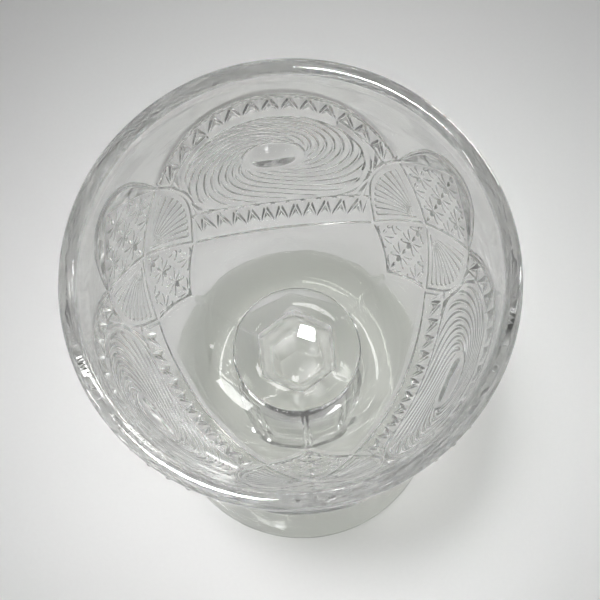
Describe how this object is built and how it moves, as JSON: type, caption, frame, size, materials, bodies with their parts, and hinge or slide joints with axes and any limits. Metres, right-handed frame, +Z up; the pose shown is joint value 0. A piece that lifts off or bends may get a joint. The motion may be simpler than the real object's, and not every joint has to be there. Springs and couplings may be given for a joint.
{
  "type": "footed mixing glass",
  "caption": "Clear pressed-glass goblet with a deep patterned bowl, a six-sided stem and a round foot, for mixing or serving drinks.",
  "frame": {"origin": "centre of the foot's resting face", "axes": "+Z up along the glass's axis; the middle of one medallion panel faces +Y"},
  "size_m": [0.082, 0.0822, 0.152],
  "materials": {
    "glass_smooth": "clear, fire-polished, faint yellow-green cast",
    "glass_pressed": "clear pressed relief with softened edges"
  },
  "bodies": {
    "root": {"rim_lip": "glass_smooth", "lower_bowl": "glass_smooth", "stem_collar": "glass_smooth", "stem": "glass_smooth", "foot": "glass_smooth", "bowl_wall": "glass_pressed", "arch_teeth": "glass_pressed", "whirl_medallions": "glass_pressed", "band_teeth": "glass_pressed", "fan_lobes": "glass_pressed", "star_lobes": "glass_pressed", "star_kites": "glass_pressed", "belt_ridge": "glass_pressed"}
  },
  "joints": []
}
